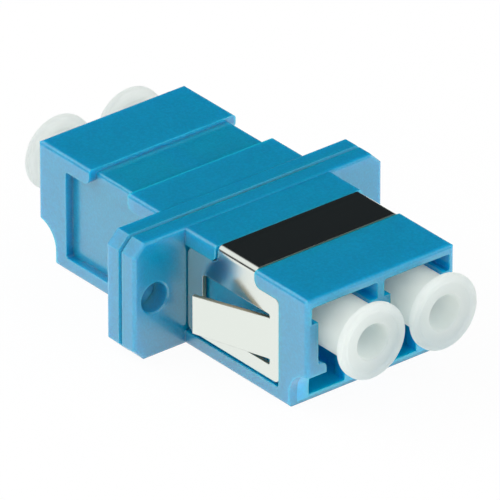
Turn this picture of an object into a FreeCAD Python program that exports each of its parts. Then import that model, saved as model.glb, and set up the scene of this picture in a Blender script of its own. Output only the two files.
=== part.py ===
import FreeCAD, Part
import math
import os

# Duplex LC fibre adapter: two like moulded halves welded back to back at the
# middle of a two-hole flange, a folded spring-steel panel clip on the front
# half, two split ceramic sleeves on the optical axes and four dust caps.
#
# Millimetres.  +X runs along the optical axes towards the front (clip) half,
# +Y across the two ports, +Z up, with the latch slots facing down.  The origin
# is the centre of the flange's front face, midway between its screw holes.

V = FreeCAD.Vector

# Flange: each half carries one plate of it.
FLANGE_W = 21.6
FLANGE_H = 9.0
FLANGE_T = 1.5
FLANGE_CORNER = 0.9
FLANGE_EDGE_R = 0.25
SEAM_CHAMFER = 0.18
SCREW_SPACING = 18.0
SCREW_HOLE_D = 2.2
SCREW_RIM = 0.12

# Body of one half, from the flange's outer face to the port face.
BODY_W = 12.8
BODY_L = 13.0
BODY_TOP_STEP = 0.08
BODY_EDGE_R = 0.3
RELIEF_R = 1.9
RELIEF_STRAIGHT = 1.1

# Seat of the panel clip: a band across the top, and a pocket in each side.
STRIP_L = 3.2
BAND_SEAT_L = 4.2
BAND_SEAT_DEPTH = 0.3
POCKET_DEPTH = 0.6
POCKET_L = 9.98
POCKET_CORNER_R = 0.2
LEDGE_H = 1.05
LIP_H = 1.2
LIP_REAR_R = 0.5
LIP_FRONT_R = 0.6
SEAT_EDGE_R = 0.25

# Ports.
PITCH = 6.25
AXIS_BELOW_TOP = 2.87
CHANNEL_W = 4.6
CHANNEL_ABOVE = 2.25
CHANNEL_BELOW = 2.25
CHANNEL_R = 0.2
MOUTH_W = 5.7
MOUTH_STEP = 1.25
MOUTH_L = 2.8
SHOULDER_L = 3.0
SHOULDER_NOSE_R = 0.42
SLOT_W = 3.15
FLOOR_T = 0.4
POCKET_BACK = 9.5
WEB_T = 1.0

# Split sleeves and the bosses that hold them.
SLEEVE_L = 6.8
SLEEVE_OD = 1.62
SLEEVE_ID = 1.25
SLEEVE_SLIT = 0.3
SLEEVE_CLEAR = 0.04
SLEEVE_END_GAP = 0.05
BOSS_OD = 2.9
BOSS_LIP_T = 0.75
BOSS_MOUTH_D = 1.4

# Dust caps.
CAP_FLANGE_D = 5.6
CAP_FLANGE_T = 0.6
CAP_RIM = 0.16
CAP_STEM_D = 4.0
CAP_PROUD = 2.2
CAP_BORE_D = 2.8
CAP_BORE_DEPTH = 8.0
CAP_SOCKET_DEPTH = 2.1
CAP_SOCKET_CLEAR = 0.05
CAP_SEAT_GAP = 0.05
FRONT_CAP_OUT = 0.85

# Panel clip.
SHEET_T = 0.3
BEND_R = 0.18
CLIP_CLEAR = 0.03
CLIP_END_CLEAR = 0.1
LEG_STAND_OFF = 0.14
LEG_CORNER_R = 0.6
ARM_W = 1.6
RAIL_W = 1.1
HEAD_W = 1.49
TONGUE_SLIT_LOW = 0.44
TONGUE_SLIT_HIGH = 0.3
TONGUE_ROOT = 1.04
TONGUE_L = 5.95
TONGUE_BEND_R = 0.6
TONGUE_ANGLE = 19.0
TONGUE_TAPER = 0.15
WINDOW_R = 0.3
SLIT_R = 0.15

# Heights and stations that follow from the sizes above.
Z_BOTTOM = -FLANGE_H / 2
Z_TOP = FLANGE_H / 2 - BODY_TOP_STEP
Z_AXIS = Z_TOP - AXIS_BELOW_TOP
Z_CHANNEL_TOP = Z_AXIS + CHANNEL_ABOVE
Z_CHANNEL_BOTTOM = Z_AXIS - CHANNEL_BELOW
Z_FLOOR = Z_BOTTOM + FLOOR_T
Z_LEDGE = Z_BOTTOM + LEDGE_H
Z_LIP = Z_TOP - LIP_H
Z_BAND_SEAT = Z_TOP - BAND_SEAT_DEPTH
Y_POCKET = BODY_W / 2 - POCKET_DEPTH
X_SEAM = -FLANGE_T
X_BAND = STRIP_L + BAND_SEAT_L
BOSS_BORE_R = SLEEVE_OD / 2 + SLEEVE_CLEAR
X_SLEEVE_STOP = X_SEAM + SLEEVE_L / 2 + SLEEVE_END_GAP
X_BOSS_TIP = X_SLEEVE_STOP + BOSS_LIP_T
BEYOND = 1.0


def rounded_face(points, radii, place):
    """Face inside a closed outline whose corners are rounded.

    points are the outline's sharp corners as (a, b) pairs, radii the rounding
    of each, and place(a, b) puts a point of the outline's plane in space.
    """
    count = len(points)
    starts = []
    ends = []
    middles = []
    for i in range(count):
        corner = V(points[i][0], points[i][1], 0)
        before = V(points[i - 1][0], points[i - 1][1], 0) - corner
        after = V(points[(i + 1) % count][0], points[(i + 1) % count][1], 0) - corner
        before.normalize()
        after.normalize()
        half = before.getAngle(after) / 2
        reach = radii[i] / math.tan(half)
        starts.append(corner + before * reach)
        ends.append(corner + after * reach)
        inward = before + after
        if radii[i] > 0:
            inward.normalize()
            depth = radii[i] / math.sin(half) - radii[i]
            middles.append(corner + inward * depth)
        else:
            middles.append(corner)
    edges = []
    for i in range(count):
        if radii[i] > 0:
            arc = Part.Arc(
                place(starts[i].x, starts[i].y),
                place(middles[i].x, middles[i].y),
                place(ends[i].x, ends[i].y),
            )
            edges.append(arc.toShape())
        following = starts[(i + 1) % count]
        if (following - ends[i]).Length > 1e-6:
            edges.append(Part.makeLine(place(ends[i].x, ends[i].y), place(following.x, following.y)))
    return Part.Face(Part.Wire(edges))


def section_prism(points, radii, x_from, x_to):
    """Prism along X of an outline given as (y, z)."""
    face = rounded_face(points, radii, lambda a, b: V(x_from, a, b))
    return face.extrude(V(x_to - x_from, 0, 0))


def side_prism(points, radii, y_from, y_to):
    """Prism along Y of an outline given as (x, z)."""
    face = rounded_face(points, radii, lambda a, b: V(a, y_from, b))
    return face.extrude(V(0, y_to - y_from, 0))


def plan_prism(points, radii, z_from, z_to):
    """Prism along Z of an outline given as (x, y)."""
    face = rounded_face(points, radii, lambda a, b: V(a, b, z_from))
    return face.extrude(V(0, 0, z_to - z_from))


def box(x_range, y_range, z_range):
    """Box between two values on each axis."""
    size = [r[1] - r[0] for r in (x_range, y_range, z_range)]
    return Part.makeBox(size[0], size[1], size[2], V(x_range[0], y_range[0], z_range[0]))


def rod(radius, x_from, x_to, y, z):
    """Cylinder along X."""
    return Part.makeCylinder(radius, x_to - x_from, V(x_from, y, z), V(1, 0, 0))


def cone(r_from, r_to, x_from, x_to, y, z):
    """Cone frustum along X."""
    return Part.makeCone(r_from, r_to, x_to - x_from, V(x_from, y, z), V(1, 0, 0))


def turned(profile, y, z):
    """Solid of revolution about the X-parallel axis through (y, z), of a
    closed outline given as (x, radius)."""
    points = [V(x, y, z + r) for x, r in profile]
    face = Part.Face(Part.makePolygon(points + points[:1]))
    return face.revolve(V(0, y, z), V(1, 0, 0), 360)


def both_sides(shape):
    """The shape and its mirror image across the XZ plane."""
    return [shape, shape.mirror(V(0, 0, 0), V(0, 1, 0))]


def body_block():
    """Outer form of one half's body: rounded long and port-end edges, and the
    concave relief along the lower edge of the port end."""
    half_w = BODY_W / 2
    section = section_prism(
        [(-half_w, Z_BOTTOM), (half_w, Z_BOTTOM), (half_w, Z_TOP), (-half_w, Z_TOP)],
        [BODY_EDGE_R] * 4,
        X_SEAM,
        BODY_L,
    )
    plan = plan_prism(
        [(X_SEAM, -half_w), (BODY_L, -half_w), (BODY_L, half_w), (X_SEAM, half_w)],
        [0, BODY_EDGE_R, BODY_EDGE_R, 0],
        Z_BOTTOM,
        Z_TOP,
    )
    side = side_prism(
        [(X_SEAM, Z_BOTTOM), (BODY_L, Z_BOTTOM), (BODY_L, Z_TOP), (X_SEAM, Z_TOP)],
        [0, 0, BODY_EDGE_R, 0],
        -half_w,
        half_w,
    )
    z_centre = Z_BOTTOM + RELIEF_STRAIGHT
    x_back = BODY_L - RELIEF_R
    relief = Part.makeCylinder(
        RELIEF_R, BODY_W + 2 * BEYOND, V(BODY_L, -half_w - BEYOND, z_centre), V(0, 1, 0)
    )
    lower = box(
        (x_back, BODY_L + BEYOND), (-half_w - BEYOND, half_w + BEYOND), (Z_BOTTOM - BEYOND, z_centre)
    )
    return section.common(plan).common(side).cut(relief.fuse(lower))


def flange_plate():
    """One half's share of the flange, with its two screw holes."""
    w = FLANGE_W / 2
    h = FLANGE_H / 2
    c = FLANGE_CORNER
    outline = [
        (-w + c, -h), (w - c, -h), (w, -h + c), (w, h - c),
        (w - c, h), (-w + c, h), (-w, h - c), (-w, -h + c),
    ]
    plate = section_prism(outline, [0] * 8, X_SEAM, 0)
    front = [e for e in plate.Edges if e.BoundBox.XMin > -1e-6]
    plate = plate.makeFillet(FLANGE_EDGE_R, front)
    seam = [e for e in plate.Edges if e.BoundBox.XMax < X_SEAM + 1e-6]
    plate = plate.makeChamfer(SEAM_CHAMFER, seam)
    for y in (-SCREW_SPACING / 2, SCREW_SPACING / 2):
        r = SCREW_HOLE_D / 2
        hole = rod(r, X_SEAM - BEYOND, BEYOND, y, 0)
        rim = cone(r, r + SCREW_RIM, -SCREW_RIM, 0, y, 0)
        plate = plate.cut(hole.fuse(rim))
    return plate


def clip_seat():
    """What is cut from the body for the panel clip: the band's seat across
    the top and the pocket for each leg, with the lips that trap the legs."""
    outline = [
        (0, Z_LEDGE), (POCKET_L, Z_LEDGE), (POCKET_L, Z_LIP), (X_BAND, Z_LIP),
        (X_BAND, Z_TOP + BEYOND), (STRIP_L, Z_TOP + BEYOND), (STRIP_L, Z_LIP), (0, Z_LIP),
    ]
    radii = [0, POCKET_CORNER_R, POCKET_CORNER_R, LIP_FRONT_R, 0, 0, LIP_REAR_R, 0]
    pocket = side_prism(outline, radii, Y_POCKET, BODY_W / 2 + BEYOND)
    y_out = BODY_W / 2 + BEYOND
    band = box((STRIP_L, X_BAND), (-y_out, y_out), (Z_LIP, Z_TOP + BEYOND))
    core = section_prism(
        [(-Y_POCKET, Z_LIP - BEYOND), (Y_POCKET, Z_LIP - BEYOND), (Y_POCKET, Z_BAND_SEAT), (-Y_POCKET, Z_BAND_SEAT)],
        [0, 0, SEAT_EDGE_R, SEAT_EDGE_R],
        STRIP_L - BEYOND,
        X_BAND + BEYOND,
    )
    return both_sides(pocket) + [band.cut(core)]


def port_cavity(y):
    """Hollow of one port: the mouth with its shoulders, the channel behind it
    and the pocket that the plug's latch springs into."""
    c = CHANNEL_W / 2
    m = MOUTH_W / 2
    s = SLOT_W / 2
    z_step = Z_CHANNEL_TOP - MOUTH_STEP
    mouth = section_prism(
        [
            (y - s, Z_FLOOR), (y + s, Z_FLOOR), (y + s, Z_CHANNEL_BOTTOM), (y + c, Z_CHANNEL_BOTTOM),
            (y + c, z_step), (y + m, z_step), (y + m, Z_CHANNEL_TOP), (y - m, Z_CHANNEL_TOP),
            (y - m, z_step), (y - c, z_step), (y - c, Z_CHANNEL_BOTTOM), (y - s, Z_CHANNEL_BOTTOM),
        ],
        [
            CHANNEL_R, CHANNEL_R, SHOULDER_NOSE_R, CHANNEL_R,
            0, 0, CHANNEL_R, CHANNEL_R,
            0, 0, CHANNEL_R, SHOULDER_NOSE_R,
        ],
        BODY_L - MOUTH_L,
        BODY_L + BEYOND,
    )
    slot = section_prism(
        [(y - s, Z_FLOOR), (y + s, Z_FLOOR), (y + s, Z_AXIS), (y - s, Z_AXIS)],
        [0] * 4,
        BODY_L - SHOULDER_L,
        BODY_L,
    )
    channel = section_prism(
        [(y - c, Z_CHANNEL_BOTTOM), (y + c, Z_CHANNEL_BOTTOM), (y + c, Z_CHANNEL_TOP), (y - c, Z_CHANNEL_TOP)],
        [CHANNEL_R] * 4,
        X_SEAM + WEB_T,
        BODY_L,
    )
    pocket = section_prism(
        [(y - c, Z_FLOOR), (y + c, Z_FLOOR), (y + c, Z_AXIS), (y - c, Z_AXIS)],
        [0] * 4,
        BODY_L - POCKET_BACK,
        BODY_L - SHOULDER_L,
    )
    return mouth.fuse([slot, channel, pocket])


def sleeve_boss(y):
    """Boss on the web, whose bore takes half of a split sleeve."""
    return rod(BOSS_OD / 2, X_SEAM, X_BOSS_TIP, y, Z_AXIS)


def sleeve_bore(y):
    """Half of a sleeve's bore, with the narrower mouth that keeps it in."""
    bore = rod(BOSS_BORE_R, X_SEAM - BEYOND, X_SLEEVE_STOP, y, Z_AXIS)
    mouth = rod(BOSS_MOUTH_D / 2, X_SLEEVE_STOP, X_BOSS_TIP + BEYOND, y, Z_AXIS)
    return bore.fuse(mouth)


def housing_half():
    """One moulded half, placed as the front one."""
    shell = body_block()
    for cut in clip_seat():
        shell = shell.cut(cut)
    shell = shell.fuse(flange_plate())
    ports = (-PITCH / 2, PITCH / 2)
    shell = shell.cut(port_cavity(ports[0]).fuse(port_cavity(ports[1])))
    for y in ports:
        shell = shell.fuse(sleeve_boss(y))
        shell = shell.cut(sleeve_bore(y))
    return shell.removeSplitter()


def turned_to_rear(shape):
    """The shape turned half a turn about the seam's vertical centre line."""
    return shape.rotated(V(X_SEAM, 0, 0), V(0, 0, 1), 180)


def split_sleeve(y):
    """Ceramic sleeve with its slit on top, centred on the seam."""
    x0 = X_SEAM - SLEEVE_L / 2
    x1 = X_SEAM + SLEEVE_L / 2
    ro = SLEEVE_OD / 2
    ri = SLEEVE_ID / 2
    tube = turned([(x0, ri), (x0, ro), (x1, ro), (x1, ri)], y, Z_AXIS)
    slit = box(
        (x0 - BEYOND, x1 + BEYOND),
        (y - SLEEVE_SLIT / 2, y + SLEEVE_SLIT / 2),
        (Z_AXIS, Z_AXIS + SLEEVE_OD),
    )
    return tube.cut(slit)


def dust_cap(y, out):
    """Dust cap in a front port, drawn out by the given distance.  Its socket
    slides over the sleeve boss, and its outer bore is the mould's core."""
    x_in = X_BOSS_TIP - CAP_SOCKET_DEPTH + CAP_SEAT_GAP + out
    x_out = BODY_L + CAP_PROUD + out
    x_neck = x_out - CAP_FLANGE_T
    socket_r = BOSS_OD / 2 + CAP_SOCKET_CLEAR
    stem_r = CAP_STEM_D / 2
    rim_r = CAP_FLANGE_D / 2
    bore_r = CAP_BORE_D / 2
    return turned(
        [
            (x_in, socket_r), (x_in, stem_r), (x_neck, stem_r), (x_neck, rim_r),
            (x_out - CAP_RIM, rim_r), (x_out, rim_r - CAP_RIM), (x_out, bore_r),
            (x_out - CAP_BORE_DEPTH, bore_r), (x_out - CAP_BORE_DEPTH, 0),
            (x_in + CAP_SOCKET_DEPTH, 0), (x_in + CAP_SOCKET_DEPTH, socket_r),
        ],
        y,
        Z_AXIS,
    )


def clip_tongue(y_in, y_out, x_root, z_low, z_high):
    """Spring tongue bent out of a leg, rooted at x_root and pointing back to
    the flange; the panel snaps in behind its free end."""
    a = math.radians(TONGUE_ANGLE)
    near = TONGUE_BEND_R
    far = TONGUE_BEND_R + SHEET_T
    y_centre = y_out + TONGUE_BEND_R

    def on_bend(radius, angle):
        return V(x_root - radius * math.sin(angle), y_centre - radius * math.cos(angle), z_low)

    run = V(-math.cos(a), math.sin(a), 0) * TONGUE_L
    near_end = on_bend(near, a)
    far_end = on_bend(far, a)
    edges = [
        Part.Arc(V(x_root, y_out, z_low), on_bend(near, a / 2), near_end).toShape(),
        Part.makeLine(near_end, near_end + run),
        Part.makeLine(near_end + run, far_end + run),
        Part.makeLine(far_end + run, far_end),
        Part.Arc(far_end, on_bend(far, a / 2), V(x_root, y_in, z_low)).toShape(),
        Part.makeLine(V(x_root, y_in, z_low), V(x_root, y_out, z_low)),
    ]
    leaf = Part.Face(Part.Wire(edges)).extrude(V(0, 0, z_high - z_low))
    x_free = x_root - TONGUE_L
    taper = side_prism(
        [
            (x_root, z_low), (x_root + BEYOND, z_low), (x_root + BEYOND, z_high), (x_root, z_high),
            (x_free - BEYOND, z_high - TONGUE_TAPER), (x_free - BEYOND, z_low + TONGUE_TAPER),
        ],
        [0] * 6,
        y_in - BEYOND,
        y_out + TONGUE_L,
    )
    return leaf.common(taper)


def panel_clip():
    """Folded clip: a band over the top, two windowed legs and their tongues."""
    gap = CLIP_END_CLEAR
    y_in = Y_POCKET + LEG_STAND_OFF
    y_out = y_in + SHEET_T
    z_in = Z_BAND_SEAT + CLIP_CLEAR
    z_out = z_in + SHEET_T
    x_lo = STRIP_L + gap
    x_hi = X_BAND - gap
    leg_top = Z_LIP - gap
    leg_low = Z_LEDGE + gap
    x_end = POCKET_L - gap

    outer = section_prism(
        [(-y_out, leg_low), (y_out, leg_low), (y_out, z_out), (-y_out, z_out)],
        [0, 0, BEND_R + SHEET_T, BEND_R + SHEET_T],
        x_lo,
        x_hi,
    )
    inner = section_prism(
        [(-y_in, leg_low - BEYOND), (y_in, leg_low - BEYOND), (y_in, z_in), (-y_in, z_in)],
        [0, 0, BEND_R, BEND_R],
        x_lo - BEYOND,
        x_hi + BEYOND,
    )
    clip = outer.cut(inner)

    front_neck_r = LIP_FRONT_R + gap
    rear_neck_r = LIP_REAR_R + gap
    z_over = leg_top + max(front_neck_r, rear_neck_r)
    leg = side_prism(
        [
            (gap, leg_low), (x_end, leg_low), (x_end, leg_top), (x_hi, leg_top),
            (x_hi, z_over), (x_lo, z_over), (x_lo, leg_top), (gap, leg_top),
        ],
        [LEG_CORNER_R, LEG_CORNER_R, LEG_CORNER_R, front_neck_r, 0, 0, rear_neck_r, LEG_CORNER_R],
        y_in,
        y_out,
    )
    x_root = x_end - TONGUE_ROOT
    win_low = leg_low + RAIL_W
    win_high = leg_top - HEAD_W
    tongue_low = win_low + TONGUE_SLIT_LOW
    tongue_high = win_high - TONGUE_SLIT_HIGH
    window = side_prism(
        [(gap + ARM_W, win_low), (x_root, win_low), (x_root, win_high), (gap + ARM_W, win_high)],
        [WINDOW_R, SLIT_R, SLIT_R, WINDOW_R],
        y_in - BEYOND,
        y_out + BEYOND,
    )
    tongue = clip_tongue(y_in, y_out, x_root, tongue_low, tongue_high)
    legs = both_sides(leg.fuse(clip.common(box((gap, x_end), (y_in, y_out), (leg_low, leg_top)))))
    windows = both_sides(window)
    tongues = both_sides(tongue)
    clip = clip.fuse(legs)
    for shape in windows:
        clip = clip.cut(shape)
    return clip.fuse(tongues).removeSplitter()


def save(shape, name):
    """Write one piece's STEP file and say how it came out."""
    shape = shape.Solids[0] if len(shape.Solids) == 1 else shape
    shape.exportStep("parts/" + name + ".step")
    print(name, "solids", len(shape.Solids), "valid", shape.isValid(), "volume", round(shape.Volume, 3))


os.makedirs("parts", exist_ok=True)

half = housing_half()
save(half, "front_housing")
save(turned_to_rear(half), "rear_housing")
save(panel_clip(), "panel_clip")

left = PITCH / 2
right = -PITCH / 2
save(split_sleeve(left), "split_sleeve_left")
save(split_sleeve(right), "split_sleeve_right")
save(dust_cap(left, FRONT_CAP_OUT), "dust_cap_front_left")
save(dust_cap(right, FRONT_CAP_OUT), "dust_cap_front_right")
save(turned_to_rear(dust_cap(right, 0)), "dust_cap_rear_left")
save(turned_to_rear(dust_cap(left, 0)), "dust_cap_rear_right")
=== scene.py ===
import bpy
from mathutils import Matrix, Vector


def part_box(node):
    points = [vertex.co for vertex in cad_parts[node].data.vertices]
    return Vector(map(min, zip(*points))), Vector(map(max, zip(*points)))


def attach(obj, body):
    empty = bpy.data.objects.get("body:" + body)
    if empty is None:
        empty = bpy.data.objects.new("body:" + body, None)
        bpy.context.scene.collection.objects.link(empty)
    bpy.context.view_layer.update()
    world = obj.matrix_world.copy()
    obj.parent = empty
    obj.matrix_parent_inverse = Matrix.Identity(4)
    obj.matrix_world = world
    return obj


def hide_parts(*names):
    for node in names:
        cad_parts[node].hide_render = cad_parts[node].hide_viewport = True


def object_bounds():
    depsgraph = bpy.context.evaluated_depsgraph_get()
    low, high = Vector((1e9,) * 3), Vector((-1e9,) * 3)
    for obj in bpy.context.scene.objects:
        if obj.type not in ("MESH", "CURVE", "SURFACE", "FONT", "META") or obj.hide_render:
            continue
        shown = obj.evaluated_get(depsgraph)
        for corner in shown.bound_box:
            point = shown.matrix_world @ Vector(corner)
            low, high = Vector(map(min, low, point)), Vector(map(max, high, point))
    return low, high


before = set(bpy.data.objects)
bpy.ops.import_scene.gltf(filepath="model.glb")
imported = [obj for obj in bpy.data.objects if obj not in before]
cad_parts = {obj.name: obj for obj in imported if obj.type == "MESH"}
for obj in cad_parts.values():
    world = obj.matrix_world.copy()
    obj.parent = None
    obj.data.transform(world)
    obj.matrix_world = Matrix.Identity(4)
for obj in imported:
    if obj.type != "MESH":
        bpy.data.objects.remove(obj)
cad_box = [list(corner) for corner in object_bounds()]

import math

import bpy
import numpy as np
from mathutils import Matrix, Vector

scene = bpy.context.scene

# The camera: a long lens from above the front right corner, so that the ports,
# the clip's near leg and the whole top are in view almost without perspective.

VIEW_AZIMUTH = math.radians(50.99)
VIEW_ELEVATION = math.radians(29.2)
VIEW_DISTANCE = 0.8946
VIEW_LENS = 950.9
VIEW_PAN = (-0.000596, 0.000473)

toward_camera = Vector((
    math.sin(VIEW_AZIMUTH) * math.cos(VIEW_ELEVATION),
    -math.cos(VIEW_AZIMUTH) * math.cos(VIEW_ELEVATION),
    math.sin(VIEW_ELEVATION),
))
camera_right = Vector((math.cos(VIEW_AZIMUTH), math.sin(VIEW_AZIMUTH), 0.0))
camera_up = toward_camera.cross(camera_right)
camera = bpy.data.objects.new("camera", bpy.data.cameras.new("camera"))
camera.data.lens = VIEW_LENS
camera.data.sensor_width = 36.0
camera.data.clip_start = 0.05
camera.data.clip_end = 20.0
spot = toward_camera * VIEW_DISTANCE + camera_right * VIEW_PAN[0] + camera_up * VIEW_PAN[1]
camera.matrix_world = Matrix.Translation(spot) @ Matrix(
    (camera_right, camera_up, toward_camera)
).transposed().to_4x4()
scene.collection.objects.link(camera)
scene.camera = camera
scene.view_settings.view_transform = "Standard"

# The floor: a plain white sheet that the adapter lies on.  It is white to the
# eye and in the metal's reflections, and still takes a faint shadow.

FLOOR_HALF = 1.5
FLOOR_GREY = (0.96, 0.96, 0.96, 1.0)
FLOOR_WHITE = 0.95
PURE_WHITE = (1.0, 1.0, 1.0, 1.0)


class Socket:
    """A shader value that takes part in Python arithmetic: each operator adds
    the Math node of its name, and node() adds any other kind of node."""

    def __init__(self, tree, link=None):
        self.tree = tree
        self.link = link

    def node(self, kind, settings=(), inputs=(), output=0):
        """Add a node of that kind; settings are set first, then its sockets
        are given values or linked, by name or number."""
        made = self.tree.nodes.new(kind)
        for name, value in dict(settings).items():
            setattr(made, name, value)
        for name, value in dict(inputs).items():
            if isinstance(value, Socket):
                self.tree.links.new(value.link, made.inputs[name])
            else:
                made.inputs[name].default_value = value
        return Socket(self.tree, made.outputs[output])

    def parts(self, axes="XYZ"):
        """A vector's parts along those axes."""
        return [self.node("ShaderNodeSeparateXYZ", inputs={0: self}, output=axis) for axis in axes]

    def maths(self, operation, a, b=0.0, clamp=False):
        settings = {"operation": operation, "use_clamp": clamp}
        return self.node("ShaderNodeMath", settings, {0: a, 1: b})

    def __add__(self, other):
        return self.maths("ADD", self, other)

    def __radd__(self, other):
        return self.maths("ADD", other, self)

    def __sub__(self, other):
        return self.maths("SUBTRACT", self, other)

    def __rsub__(self, other):
        return self.maths("SUBTRACT", other, self)

    def __mul__(self, other):
        return self.maths("MULTIPLY", self, other)

    def __rmul__(self, other):
        return self.maths("MULTIPLY", other, self)

    def __gt__(self, other):
        return self.maths("GREATER_THAN", self, other)

    def __lt__(self, other):
        return self.maths("LESS_THAN", self, other)

    def __abs__(self):
        return self.maths("ABSOLUTE", self)

    def clamped(self):
        """The same value, kept between 0 and 1."""
        return self.maths("ADD", self, 0.0, clamp=True)

    def ramped(self, low, high):
        """0 up to low, 1 from high on, and a smooth rise between them."""
        return self.node(
            "ShaderNodeMapRange", {"interpolation_type": "SMOOTHSTEP"},
            {"Value": self, "From Min": low, "From Max": high},
        )

    def mix(self, a, b):
        """Colour a where this mask is 0 and colour b where it is 1."""
        return self.node("ShaderNodeMix", {"data_type": "RGBA"}, {0: self, 6: a, 7: b}, output=2)


def new_material(name):
    """An empty node material and a Socket to start its expressions from."""
    material = bpy.data.materials.new(name)
    material.use_nodes = True
    material.node_tree.nodes.clear()
    return material, Socket(material.node_tree)


def finish_material(material, surface):
    """Link a shader to the material's output."""
    out = material.node_tree.nodes.new("ShaderNodeOutputMaterial")
    material.node_tree.links.new(surface.link, out.inputs["Surface"])
    return material


floor_paint, start = new_material("floor_sheet")
looked_at = start.node("ShaderNodeLightPath", output="Is Camera Ray")
reflected = start.node("ShaderNodeLightPath", output="Is Glossy Ray")
through = start.node("ShaderNodeLightPath", output="Is Transmission Ray")
seen = (looked_at + reflected + through).clamped() * FLOOR_WHITE
paper = start.node("ShaderNodeBsdfDiffuse", inputs={"Color": FLOOR_GREY})
white = start.node("ShaderNodeEmission", inputs={"Color": PURE_WHITE, "Strength": 1.0})
finish_material(floor_paint, start.node("ShaderNodeMixShader", inputs={0: seen, 1: paper, 2: white}))

floor_z = cad_box[0][2]
floor_mesh = bpy.data.meshes.new("floor")
signs = [(-1, -1), (1, -1), (1, 1), (-1, 1)]
corners = [(x * FLOOR_HALF, y * FLOOR_HALF, floor_z) for x, y in signs]
floor_mesh.from_pydata(corners, [], [(0, 1, 2, 3)])
floor_mesh.materials.append(floor_paint)
floor = bpy.data.objects.new("floor", floor_mesh)
scene.collection.objects.link(floor)

# Studio light: an even white tent.  Only shiny surfaces see its dark low walls
# and its dark back, which the clip's band and the flat tops mirror.  Soft boxes
# add to its light and are not seen in the metal.

TENT_WHITE = 0.95
TENT_LIGHT = 0.67
TENT_DARK = (0.009, 0.012, 0.0145, 1.0)
WALL_DARK = 0.06
WALL_TOP = 0.36
WALL_TOP_BLUR = 0.08
WALL_FOOT_BLUR = 0.02
BACK_FROM = -0.05
BACK_TO = 0.32
BACK_SIDE_FROM = 0.10
BACK_SIDE_TO = 0.85


def soft_box(name, direction, distance, width, height, radiance):
    """A rectangular lamp at that distance along direction, facing the object;
    radiance is how bright it looks, 1 being white."""
    lamp = bpy.data.lights.new(name, "AREA")
    lamp.shape = "RECTANGLE"
    lamp.size = width
    lamp.size_y = height
    lamp.energy = radiance * math.pi * width * height
    box = bpy.data.objects.new(name, lamp)
    scene.collection.objects.link(box)
    way = Vector(direction).normalized()
    turned = way.to_track_quat("Z", "Y").to_matrix().to_4x4()
    box.matrix_world = Matrix.Translation(way * distance) @ turned
    box.visible_camera = False
    box.visible_glossy = False
    return box


soft_box("soft_box_left", (-0.62, -0.44, 0.65), 0.6, 0.56, 0.36, 2.5)
soft_box("soft_box_side", (-0.05, -0.95, 0.28), 0.7, 0.50, 0.30, 2.1)
soft_box("soft_box_front", (0.90, 0.22, 0.16), 0.7, 0.45, 0.26, 5.8)
soft_box("soft_box_behind", (0.35, 0.80, 0.60), 0.8, 0.36, 0.36, 0.5)

world = bpy.data.worlds.new("tent")
scene.world = world
world.use_nodes = True
world.node_tree.nodes.clear()
start = Socket(world.node_tree)
direction = start.node("ShaderNodeTexCoord", output="Generated")
sideways, inward, height = direction.parts()
back = inward.ramped(BACK_FROM, BACK_TO) * (1.0 - sideways.ramped(BACK_SIDE_FROM, BACK_SIDE_TO))
over_wall = height.ramped(WALL_TOP - WALL_TOP_BLUR, WALL_TOP + WALL_TOP_BLUR)
wall = height.ramped(-WALL_FOOT_BLUR, 0.0) * (1.0 - over_wall)
camera_ray = start.node("ShaderNodeLightPath", output="Is Camera Ray")
glossy_ray = start.node("ShaderNodeLightPath", output="Is Glossy Ray")
mirrored = back + (1.0 - back) * (TENT_WHITE + wall * (WALL_DARK - TENT_WHITE))
strength = camera_ray + glossy_ray * mirrored + (1.0 - (camera_ray + glossy_ray).clamped()) * TENT_LIGHT
tint = (glossy_ray * back).mix(PURE_WHITE, TENT_DARK)
sky = start.node("ShaderNodeBackground", inputs={"Color": tint, "Strength": strength})
out = world.node_tree.nodes.new("ShaderNodeOutputWorld")
world.node_tree.links.new(sky.link, out.inputs["Surface"])

# The two moulded halves: light blue PBT with a satin skin and a faint grain,
# matt along the weld seam and in the screw holes.  Painted light lightens the
# blue along edges and thin walls and inside the ports, standing in for light
# that comes through the walls.  They are one moulding used twice.

PBT_BLUE = (0.0, 0.286, 0.490, 1.0)
PBT_PALE_GRAIN_AND_PAINTED_GLOW = (0.0, 0.49, 0.86, 1.0)
PBT_GLOSS_TINT = (0.97, 1.0, 0.88, 1.0)
PBT_BLEED = 0.0016
PBT_BLEED_COLOURS = (0.15, 0.85, 1.0)
PBT_EDGE_R = 0.00011
PBT_THIN_REACH = 0.0004
PBT_PAINTED_GLOW_SHARE = 0.12
PBT_PORTS_PAINTED_LIGHT = 0.85
PBT_GRAIN_H = 0.00002
PBT_GRAIN_STRENGTH = 0.04
SCREW_Y = 0.0090
SCREW_HOLE_R = 0.00113
SEAM_X = -0.0015
SEAM_HALF = 0.00017
PORTS_HALF_W = 0.0057
PORTS_HALF_L = 0.01445
PORTS_TOP = 0.0039
PORTS_FLOOR = -0.0043


def principled(start, **inputs):
    """A Principled shader; keyword names stand for its sockets' names."""
    named = {key.replace("_", " "): value for key, value in inputs.items()}
    return start.node("ShaderNodeBsdfPrincipled", inputs=named)


def rounded_normal(start, radius, height, distance, strength):
    """Normal of a surface whose sharp edges are rounded by that radius, with
    a fine relief of the given height map on it."""
    edge = start.node("ShaderNodeBevel", {"samples": 6}, {"Radius": radius})
    relief = {"Height": height, "Strength": strength, "Distance": distance, "Normal": edge}
    return start.node("ShaderNodeBump", inputs=relief)


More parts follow.
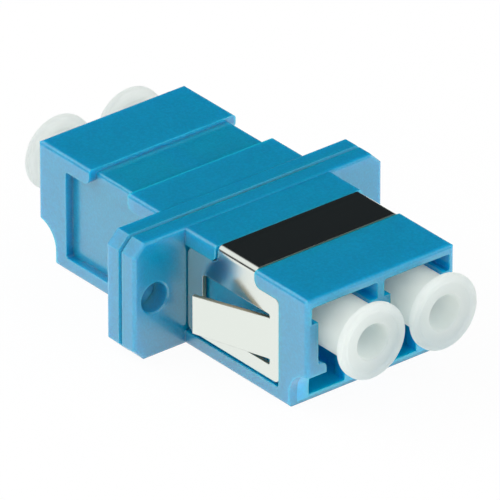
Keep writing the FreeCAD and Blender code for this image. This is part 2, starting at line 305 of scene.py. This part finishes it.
blue_pbt, start = new_material("blue_pbt")
place = start.node("ShaderNodeTexCoord", output="Object")
grain = start.node("ShaderNodeTexNoise", inputs={"Vector": place, "Scale": 6000.0, "Detail": 3.0})
cloud = start.node("ShaderNodeTexNoise", inputs={"Vector": place, "Scale": 500.0, "Detail": 2.0})
# Painted glow: an inside-AO mask finds edges and thin walls, and the base colour is lightened there,
# standing in for light passing through the plastic.
depth = start.node(
    "ShaderNodeAmbientOcclusion", {"inside": True, "only_local": True, "samples": 8},
    {"Distance": PBT_THIN_REACH}, output="AO",
)
painted_thin_glow = (1.0 - depth).ramped(0.12, 0.75) * PBT_PAINTED_GLOW_SHARE
x, y, z = place.parts()
off_axis = abs(y) - SCREW_Y
screw_hole = off_axis * off_axis + z * z < SCREW_HOLE_R * SCREW_HOLE_R
matt = (screw_hole + (abs(x - SEAM_X) < SEAM_HALF)).clamped()
# Painted light: the base colour is lightened inside the port cavities, standing in for light reaching
# them through the walls.
between_sides = (abs(y) < PORTS_HALF_W) * (abs(x - SEAM_X) < PORTS_HALF_L)
in_ports = between_sides * (z < PORTS_TOP) * (z > PORTS_FLOOR)
mottle = 0.10 + (grain - 0.5) * 0.8 + (cloud - 0.5) * 0.10
# The tone mixes the real grain with the painted glow and the painted light in the ports.
tone_and_painted_light = (painted_thin_glow + mottle + in_ports * PBT_PORTS_PAINTED_LIGHT).clamped()
surface = principled(
    start,
    Base_Color=tone_and_painted_light.mix(PBT_BLUE, PBT_PALE_GRAIN_AND_PAINTED_GLOW),
    Roughness=0.22 + cloud * 0.06 + matt * 0.45,
    IOR=1.6, Specular_IOR_Level=1.0, Specular_Tint=PBT_GLOSS_TINT,
    Coat_Weight=0.8 * (1.0 - matt), Coat_Roughness=0.22,
    Subsurface_Weight=1.0, Subsurface_Radius=PBT_BLEED_COLOURS, Subsurface_Scale=PBT_BLEED,
    Normal=rounded_normal(start, PBT_EDGE_R, grain, PBT_GRAIN_H, PBT_GRAIN_STRENGTH),
)
finish_material(blue_pbt, surface)


def paint(node, material):
    """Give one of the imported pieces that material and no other."""
    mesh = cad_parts[node].data
    mesh.materials.clear()
    mesh.materials.append(material)


for node in ("front_housing", "rear_housing"):
    paint(node, blue_pbt)

# The panel clip: one folded sheet of bright spring steel.  Its faces keep the
# mill's mirror finish, and its sheared edges are rough; their darker tan colour
# is painted shade, standing in for the dark reflections along them.

STEEL_BRIGHT = (0.80, 0.845, 0.79, 1.0)
STEEL_EDGE_PAINTED_SHADE = (0.50, 0.43, 0.31, 1.0)
STEEL_EDGE_R = 0.00008
STEEL_ROLLED = (0.0004, 0.00002, 0.00002)
STEEL_WAVE_H = 0.00006
STEEL_WAVE_STRENGTH = 0.12
BEND_ZONE = 0.00072

clip_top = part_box("panel_clip")[1][2]
spring_steel, start = new_material("spring_steel")
place = start.node("ShaderNodeTexCoord", output="Object")
facing = start.node("ShaderNodeTexCoord", output="Normal")
along, across = facing.parts("XY")
height, = place.parts("Z")
on_legs = height < clip_top - BEND_ZONE
# The sheared mask marks the sheet's cut edges: their extra roughness is real, their darker tan colour is
# painted shade.
sheared = (on_legs * (abs(across) < 0.5) + (1.0 - on_legs) * (abs(along) > 0.5)).clamped()
stretched = start.node(
    "ShaderNodeMapping", {"vector_type": "TEXTURE"}, {"Vector": place, "Scale": STEEL_ROLLED}
)
rolled = start.node("ShaderNodeTexNoise", inputs={"Vector": stretched, "Scale": 1.0, "Detail": 2.0})
waves = start.node("ShaderNodeTexNoise", inputs={"Vector": place, "Scale": 260.0, "Detail": 1.0})
surface = principled(
    start,
    Base_Color=sheared.mix(STEEL_BRIGHT, STEEL_EDGE_PAINTED_SHADE),
    Metallic=1.0,
    Roughness=0.14 + rolled * 0.06 + sheared * 0.3,
    Normal=rounded_normal(start, STEEL_EDGE_R, waves, STEEL_WAVE_H, STEEL_WAVE_STRENGTH),
)
finish_material(spring_steel, surface)
paint("panel_clip", spring_steel)

# The dust caps: one push-in plug of natural polyethylene, used four times.
# A collar with a slightly raised rim, a stem that fills the port's mouth, the
# core's long bore in its outer end, and a socket for the sleeve boss.

CAP_STEM_R = 0.0020
CAP_COLLAR_T = 0.0006
CAP_BORE_R = 0.0013
CAP_BORE_DEPTH = 0.0080
CAP_SOCKET_R = 0.0015
CAP_SOCKET_DEPTH = 0.0021
CAP_RIM_R = 0.00020
CAP_BACK_R = 0.00018
CAP_NECK_R = 0.0004
CAP_BORE_LIP_R = 0.00014
CAP_END_R = 0.00012
CAP_BORE_FLOOR_R = 0.00020
CAP_SOCKET_CORNER_R = 0.00003
CAP_DISH = 0.00010
CAP_DISH_CORNER_R = 0.00030
CAP_DISH_SHARE = 0.78
CAP_RISE_SHARE = 0.85
BORE_TAPER = 0.97
STEM_TAPER = 1.02
AROUND = 96
PE_WHITE = (0.785, 0.83, 0.795, 1.0)
PE_GREYER = (0.745, 0.80, 0.765, 1.0)
PE_BORE_PAINTED_LIGHT = (0.96, 0.98, 0.95, 1.0)
PE_THROUGH = (0.94, 0.97, 0.945, 1.0)
PE_CLEAR = 0.52
PE_BORE_PAINTED_GLOW_SHARE = 0.28
PE_BLEED = 0.006
PE_BLEED_COLOURS = (1.0, 1.0, 0.95)
PE_WAX_H = 0.00003
BORE_REACH = 1.03


def rounded_line(points, radii, steps=7):
    """Polyline through the corners given as (x, radius), each corner rounded
    by an arc: the arc's centre lies on the corner's bisector, and its points
    turn evenly from one leg's normal to the other's."""
    points = np.array(points, float)
    line = [points[:1]]
    for before, corner, after, radius in zip(points[:-2], points[1:-1], points[2:], radii):
        inward = [(end - corner) / np.linalg.norm(end - corner) for end in (before, after)]
        half = np.arccos(np.clip(np.dot(inward[0], inward[1]), -1.0, 1.0)) / 2.0
        bisector = (inward[0] + inward[1]) / np.linalg.norm(inward[0] + inward[1])
        centre = corner + bisector * radius / np.sin(half)
        sweep = np.linspace(-1.0, 1.0, steps) * (np.pi / 2.0 - half)
        side = inward[1] - inward[0]
        side = side / np.linalg.norm(side)
        arc = centre - radius * np.cos(sweep)[:, None] * bisector + radius * np.sin(sweep)[:, None] * side
        line.append(arc)
    line.append(points[-1:])
    return np.concatenate(line)


def turned_mesh(name, line, axis_y, axis_z):
    """Closed surface of revolution: every point (x, r) of the line goes round
    the X-parallel axis, (x, axis_y + r cos t, axis_z + r sin t), and the two
    ends, which lie on the axis, are single points."""
    turn = np.linspace(0.0, 2.0 * np.pi, AROUND, endpoint=False)
    rings = line[1:-1]
    grid = np.stack([
        np.broadcast_to(rings[:, :1], (len(rings), AROUND)),
        axis_y + rings[:, 1:] * np.cos(turn),
        axis_z + rings[:, 1:] * np.sin(turn),
    ], axis=-1).reshape(-1, 3)
    poles = np.array([[line[0, 0], axis_y, axis_z], [line[-1, 0], axis_y, axis_z]])
    this = np.arange(AROUND)
    following = np.roll(this, -1)
    start_of = np.arange(len(rings) - 1)[:, None] * AROUND
    quads = np.stack([
        start_of + this, start_of + following,
        start_of + AROUND + following, start_of + AROUND + this,
    ], axis=-1).reshape(-1, 4)
    first = len(grid)
    last_ring = (len(rings) - 1) * AROUND
    fans = np.concatenate([
        np.stack([np.full(AROUND, first), following, this], axis=-1),
        np.stack([np.full(AROUND, first + 1), last_ring + this, last_ring + following], axis=-1),
    ])
    mesh = bpy.data.meshes.new(name)
    mesh.from_pydata(np.concatenate([grid, poles]).tolist(), [], quads.tolist() + fans.tolist())
    mesh.shade_smooth()
    return mesh


def cap_line(x_in, x_out, rim_r):
    """Outline of a cap from its bore's floor, over collar and stem, to its
    socket's floor; x_out is the collar's outer face, x_in the socket's end."""
    way = 1.0 if x_out > x_in else -1.0
    bore_floor = x_out - way * CAP_BORE_DEPTH
    socket_floor = x_in + way * CAP_SOCKET_DEPTH
    neck = x_out - way * CAP_COLLAR_T
    dish = x_out - way * CAP_DISH
    points = [
        (bore_floor, 0.0), (bore_floor, CAP_BORE_R * BORE_TAPER), (dish, CAP_BORE_R),
        (dish, rim_r * CAP_DISH_SHARE), (x_out, rim_r * CAP_RISE_SHARE), (x_out, rim_r),
        (neck, rim_r), (neck, CAP_STEM_R * STEM_TAPER), (x_in, CAP_STEM_R),
        (x_in, CAP_SOCKET_R), (socket_floor, CAP_SOCKET_R), (socket_floor, 0.0),
    ]
    radii = [
        CAP_BORE_FLOOR_R, CAP_BORE_LIP_R, CAP_DISH_CORNER_R, CAP_DISH_CORNER_R, CAP_RIM_R,
        CAP_BACK_R, CAP_NECK_R, CAP_END_R, CAP_END_R, CAP_SOCKET_CORNER_R,
    ]
    return rounded_line(points, radii)


polyethylene, start = new_material("polyethylene")
place = start.node("ShaderNodeTexCoord", output="Object")
haze = start.node("ShaderNodeTexNoise", inputs={"Vector": place, "Scale": 900.0, "Detail": 2.0})
wax = start.node("ShaderNodeTexNoise", inputs={"Vector": place, "Scale": 2600.0, "Detail": 2.0})
low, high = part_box("dust_cap_front_left")
y, z = place.parts("YZ")
aside = abs(y) - (low[1] + high[1]) / 2.0
above = z - (low[2] + high[2]) / 2.0
# Painted light: inside the bore the base colour is lighter and the translucent share is larger, standing
# in for light that reaches the bore's walls.
in_bore = aside * aside + above * above < (CAP_BORE_R * BORE_REACH) ** 2
surface = principled(
    start,
    Base_Color=in_bore.mix(haze.mix(PE_GREYER, PE_WHITE), PE_BORE_PAINTED_LIGHT),
    Roughness=0.36 + haze * 0.12,
    IOR=1.51,
    Subsurface_Weight=1.0, Subsurface_Radius=PE_BLEED_COLOURS, Subsurface_Scale=PE_BLEED,
    Normal=start.node("ShaderNodeBump", inputs={"Height": wax, "Strength": 0.1, "Distance": PE_WAX_H}),
)
glow = start.node("ShaderNodeBsdfTranslucent", inputs={"Color": PE_THROUGH})
# The translucent share is raised in the bore as painted glow.
clear = PE_CLEAR + in_bore * PE_BORE_PAINTED_GLOW_SHARE
finish_material(polyethylene, start.node("ShaderNodeMixShader", inputs={0: clear, 1: surface, 2: glow}))

for row in ("front", "rear"):
    for side in ("left", "right"):
        node = f"dust_cap_{row}_{side}"
        low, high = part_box(node)
        ends = (low[0], high[0]) if row == "front" else (high[0], low[0])
        line = cap_line(ends[0], ends[1], (high[2] - low[2]) / 2.0)
        mesh = turned_mesh(f"{node}_skin", line, (low[1] + high[1]) / 2.0, (low[2] + high[2]) / 2.0)
        if row == "front":
            mesh.flip_normals()
        mesh.materials.append(polyethylene)
        cap = bpy.data.objects.new(f"{node}_skin", mesh)
        scene.collection.objects.link(cap)
        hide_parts(node)
        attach(cap, f"cap_{row}_{side}")

# The split sleeves: zirconia tubes, ground and polished, with one long slit
# on top.  They hold the two ferrules in line inside the housings' bosses.

ZIRCONIA_WHITE = (0.93, 0.93, 0.88, 1.0)
ZIRCONIA_DULLER = (0.90, 0.91, 0.87, 1.0)

zirconia, start = new_material("zirconia")
place = start.node("ShaderNodeTexCoord", output="Object")
polish = start.node("ShaderNodeTexNoise", inputs={"Vector": place, "Scale": 3000.0, "Detail": 2.0})
surface = principled(
    start,
    Base_Color=polish.mix(ZIRCONIA_WHITE, ZIRCONIA_DULLER),
    Roughness=0.10 + polish * 0.1, IOR=2.1,
    Subsurface_Weight=0.4, Subsurface_Radius=(1.0, 0.9, 0.8), Subsurface_Scale=0.0003,
)
finish_material(zirconia, surface)
for node in ("split_sleeve_left", "split_sleeve_right"):
    paint(node, zirconia)
